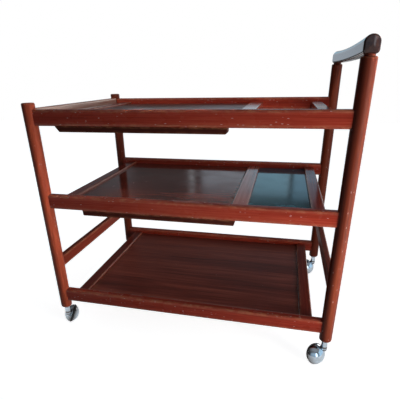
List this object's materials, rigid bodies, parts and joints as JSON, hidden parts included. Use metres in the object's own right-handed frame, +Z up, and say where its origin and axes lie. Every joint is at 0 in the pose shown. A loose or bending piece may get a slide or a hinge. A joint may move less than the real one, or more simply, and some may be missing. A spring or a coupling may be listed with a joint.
{
  "type": "bar cart",
  "caption": "Wooden bar cart with raised-edge tiers, loose lift-out boards, an open bottle well over a black laminate panel, a push handle and swivelling ball casters.",
  "frame": {"origin": "on the floor under the centre of the cart's box", "axes": "+X along the cart towards the handle, -Y the front, +Z up"},
  "size_m": [0.7646, 0.5266, 0.7426],
  "materials": {
    "frame_wood": "satin lacquer",
    "board_wood": "satin lacquer",
    "dowel_wood": "raw",
    "black_laminate": "satin laminate",
    "chrome": "polished",
    "plated_steel": "plated",
    "tread_rubber": "matte",
    "wheel_nylon": "moulded"
  },
  "bodies": {
    "cart_frame": {"back_left_post": "frame_wood", "back_right_post": "frame_wood", "batten_screws": "plated_steel", "bottom_back_rail": "frame_wood", "bottom_front_rail": "frame_wood", "bottom_left_cross_rail": "frame_wood", "bottom_panel": "board_wood", "bottom_right_cross_rail": "frame_wood", "caster_sleeves": "plated_steel", "front_left_post": "frame_wood", "front_right_post": "frame_wood", "handle_bar": "frame_wood", "left_stretcher": "frame_wood", "mid_back_batten": "frame_wood", "mid_back_rail": "frame_wood", "mid_divider": "frame_wood", "mid_front_batten": "frame_wood", "mid_front_rail": "frame_wood", "mid_laminate_panel": "black_laminate", "mid_left_cross_rail": "frame_wood", "mid_right_cross_rail": "frame_wood", "rail_dowels": "dowel_wood", "right_stretcher": "frame_wood", "stretcher_dowels": "dowel_wood", "top_back_batten": "frame_wood", "top_back_rail": "frame_wood", "top_divider": "frame_wood", "top_end_rail": "frame_wood", "top_front_batten": "frame_wood", "top_front_rail": "frame_wood", "top_left_cross_rail": "frame_wood", "top_right_cross_rail": "frame_wood"},
    "back_left_swivel": {"back_left_caster_axle": "plated_steel", "back_left_caster_hood": "chrome", "back_left_caster_stem": "plated_steel"},
    "back_left_wheel": {"back_left_caster_cap": "chrome", "back_left_caster_tread": "tread_rubber", "back_left_caster_wheel": "wheel_nylon"},
    "back_right_swivel": {"back_right_caster_axle": "plated_steel", "back_right_caster_hood": "chrome", "back_right_caster_stem": "plated_steel"},
    "back_right_wheel": {"back_right_caster_cap": "chrome", "back_right_caster_tread": "tread_rubber", "back_right_caster_wheel": "wheel_nylon"},
    "front_left_swivel": {"front_left_caster_axle": "plated_steel", "front_left_caster_hood": "chrome", "front_left_caster_stem": "plated_steel"},
    "front_left_wheel": {"front_left_caster_cap": "chrome", "front_left_caster_tread": "tread_rubber", "front_left_caster_wheel": "wheel_nylon"},
    "front_right_swivel": {"front_right_caster_axle": "plated_steel", "front_right_caster_hood": "chrome", "front_right_caster_stem": "plated_steel"},
    "front_right_wheel": {"front_right_caster_cap": "chrome", "front_right_caster_tread": "tread_rubber", "front_right_caster_wheel": "wheel_nylon"},
    "mid_board": {"mid_board": "board_wood"},
    "top_board": {"top_board": "board_wood"}
  },
  "joints": [
    {"name": "front_left_caster_swivel", "type": "hinge", "parent": "cart_frame", "child": "front_left_swivel", "pos_m": [-0.35865, -0.234, 0.066], "axis": [0, 0, 1], "continuous": true},
    {"name": "front_left_wheel_roll", "type": "hinge", "parent": "front_left_swivel", "child": "front_left_wheel", "pos_m": [-0.3609, -0.2142, 0.02497], "axis": [-0.8346, -0.3716, 0.4067], "continuous": true},
    {"name": "front_right_caster_swivel", "type": "hinge", "parent": "cart_frame", "child": "front_right_swivel", "pos_m": [0.36735, -0.234, 0.066], "axis": [0, 0, 1], "continuous": true},
    {"name": "front_right_wheel_roll", "type": "hinge", "parent": "front_right_swivel", "child": "front_right_wheel", "pos_m": [0.34868, -0.24097, 0.02497], "axis": [0.5624, -0.7199, 0.4067], "continuous": true},
    {"name": "back_left_caster_swivel", "type": "hinge", "parent": "cart_frame", "child": "back_left_swivel", "pos_m": [-0.35865, 0.234, 0.066], "axis": [0, 0, 1], "continuous": true},
    {"name": "back_left_wheel_roll", "type": "hinge", "parent": "back_left_swivel", "child": "back_left_wheel", "pos_m": [-0.33998, 0.24097, 0.02497], "axis": [-0.5624, 0.7199, 0.4067], "continuous": true},
    {"name": "back_right_caster_swivel", "type": "hinge", "parent": "cart_frame", "child": "back_right_swivel", "pos_m": [0.36735, 0.234, 0.066], "axis": [0, 0, 1], "continuous": true},
    {"name": "back_right_wheel_roll", "type": "hinge", "parent": "back_right_swivel", "child": "back_right_wheel", "pos_m": [0.34984, 0.2245, 0.02497], "axis": [0.6571, -0.6346, 0.4067], "continuous": true},
    {"name": "top_board_lift", "type": "slide", "parent": "cart_frame", "child": "top_board", "axis": [0, 0, 1], "range_m": [0, 0.08]},
    {"name": "mid_board_lift", "type": "slide", "parent": "cart_frame", "child": "mid_board", "axis": [0, 0, 1], "range_m": [0, 0.08]}
  ]
}
